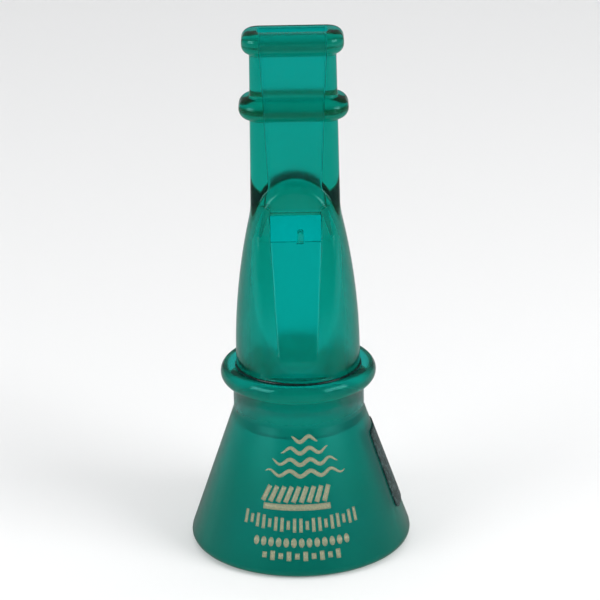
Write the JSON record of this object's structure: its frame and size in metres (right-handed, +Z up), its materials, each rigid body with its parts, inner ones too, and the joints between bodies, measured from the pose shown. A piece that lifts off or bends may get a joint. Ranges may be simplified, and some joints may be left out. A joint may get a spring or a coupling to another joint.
{
  "type": "hawk call",
  "caption": "Whistle-type hawk call: clear flat mouthpiece and windowed barrel, plugged by a sealed tenon into a frosted flared bell.",
  "frame": {"origin": "centre of the bell's mouth, on the plane the call stands on", "axes": "+Z up the call's axis to the mouthpiece; the sound window faces -Y; +X is the label's side"},
  "size_m": [0.048, 0.0478, 0.1137],
  "materials": {
    "clear_green": "clear tinted, polished moulding",
    "frosted_green": "clear tinted moulding with a frosted surface",
    "seal": "natural silicone",
    "label": "dark printed vinyl"
  },
  "bodies": {
    "bell_body": {"bell": "frosted_green", "side_label": "label"},
    "seal_body": {"tenon_seal": "seal"},
    "barrel_body": {"barrel": "clear_green"}
  },
  "joints": [
    {"name": "pull_off", "type": "slide", "parent": "bell_body", "child": "seal_body", "axis": [0, 0, 1], "range_m": [0, 0.016]},
    {"name": "twist", "type": "hinge", "parent": "seal_body", "child": "barrel_body", "pos_m": [0, 0, 0.0335], "axis": [0, 0, 1], "continuous": true}
  ]
}
